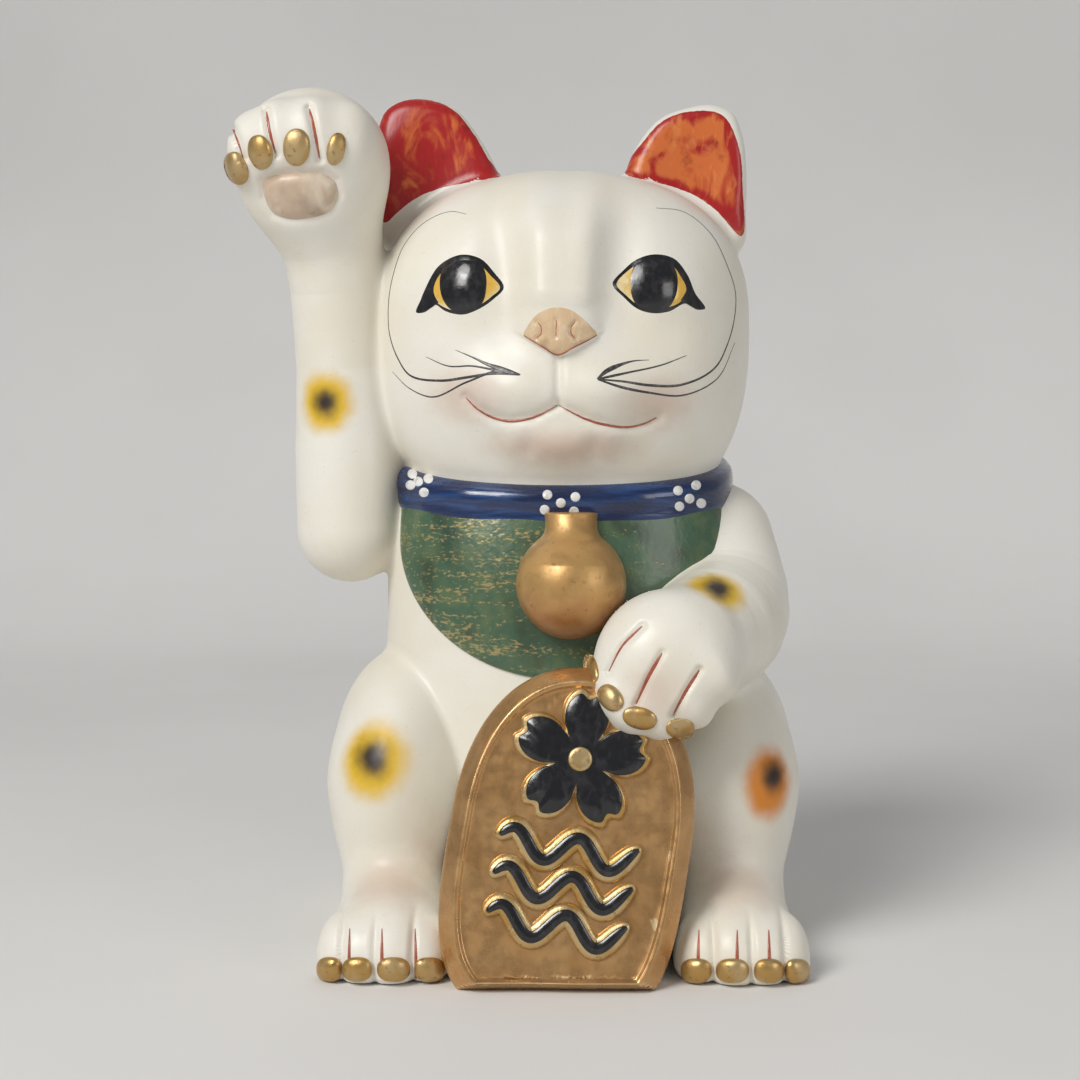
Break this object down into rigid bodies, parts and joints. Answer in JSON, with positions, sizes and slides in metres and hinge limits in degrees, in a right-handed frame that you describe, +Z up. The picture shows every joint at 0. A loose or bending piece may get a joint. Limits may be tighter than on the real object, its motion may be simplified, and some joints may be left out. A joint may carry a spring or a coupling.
{
  "type": "beckoning cat figurine",
  "caption": "Seated ceramic cat ornament with a raised foreleg, collar, bib and bell, holding an upright coin-shaped plaque.",
  "frame": {"origin": "the flat underside, on the floor, below the cat's middle line", "axes": "+Z up, the cat faces -Y, its raised foreleg is on the -X side"},
  "size_m": [0.2125, 0.1977, 0.3207],
  "materials": {
    "white_glaze": "satin",
    "ear_crimson": "gloss",
    "ear_orange": "gloss",
    "gold_lustre": "satin",
    "bronze_lustre": "satin",
    "black_enamel": "gloss",
    "green_enamel": "gloss",
    "blue_enamel": "gloss",
    "pad_blush": "satin",
    "nose_tan": "satin"
  },
  "bodies": {
    "root": {"torso_shell": "white_glaze", "head_shell": "white_glaze", "ear_raised_side": "ear_crimson", "ear_lowered_side": "ear_orange", "haunch_raised_side": "white_glaze", "haunch_lowered_side": "white_glaze", "hind_foot_raised_side": "white_glaze", "hind_foot_lowered_side": "white_glaze", "hind_nails_raised_side": "gold_lustre", "hind_nails_lowered_side": "gold_lustre", "raised_foreleg": "white_glaze", "raised_paw": "white_glaze", "raised_paw_pad": "pad_blush", "raised_nails": "gold_lustre", "lowered_foreleg": "white_glaze", "lowered_paw": "white_glaze", "lowered_nails": "gold_lustre", "coin_plaque": "bronze_lustre", "plaque_blossom": "black_enamel", "plaque_waves": "black_enamel", "bib": "green_enamel", "collar": "blue_enamel", "bell": "gold_lustre", "nose": "nose_tan", "eye_raised_side": "black_enamel", "eye_lowered_side": "black_enamel", "tail": "white_glaze"}
  },
  "joints": []
}
